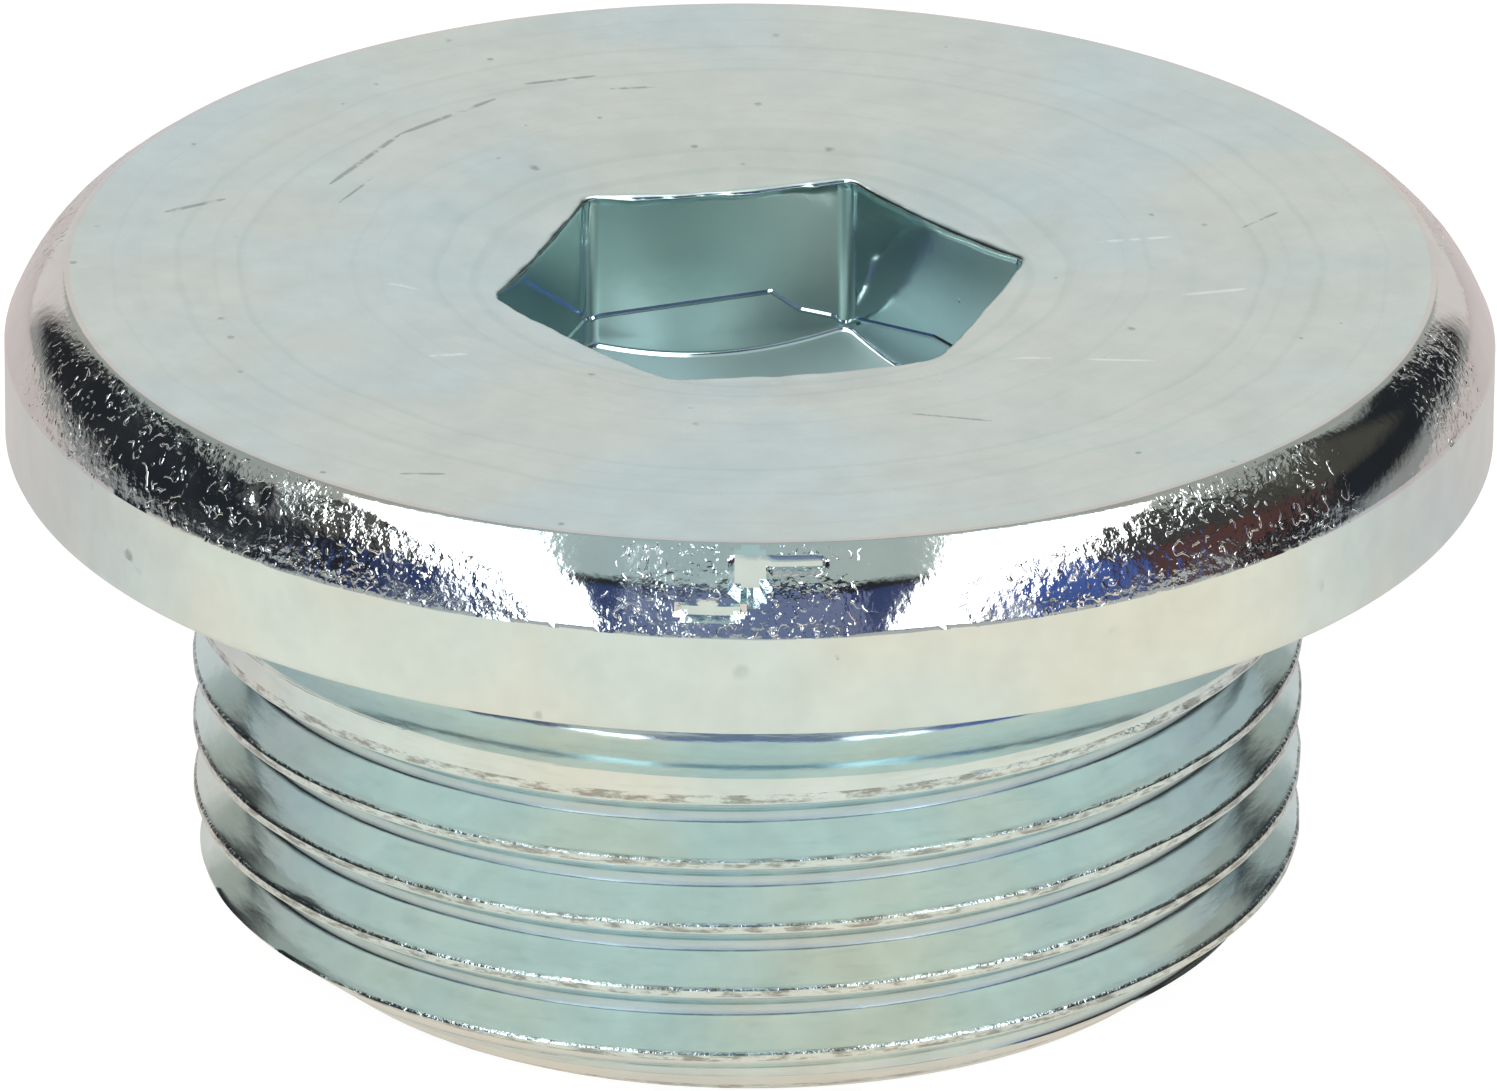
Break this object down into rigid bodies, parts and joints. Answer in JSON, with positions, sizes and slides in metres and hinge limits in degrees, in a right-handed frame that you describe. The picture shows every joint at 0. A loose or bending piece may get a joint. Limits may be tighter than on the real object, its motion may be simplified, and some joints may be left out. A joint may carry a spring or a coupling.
{
  "type": "hex socket screw plug",
  "caption": "Collared screw plug of zinc-plated steel, with a fine-threaded shank, an undercut neck and a hexagon socket in a shallow dish.",
  "frame": {"origin": "centre of the sealing face under the collar, on the turning axis", "axes": "+Z along the turning axis, from the sealing face to the face with the socket; +X through a corner of the hexagon"},
  "size_m": [0.032, 0.032, 0.0147],
  "materials": {
    "zinc_plated_steel": "bright zinc plating with a clear blue passivation, faint turning marks and handling scratches"
  },
  "bodies": {
    "root": {"plug_body": "zinc_plated_steel"}
  },
  "joints": []
}
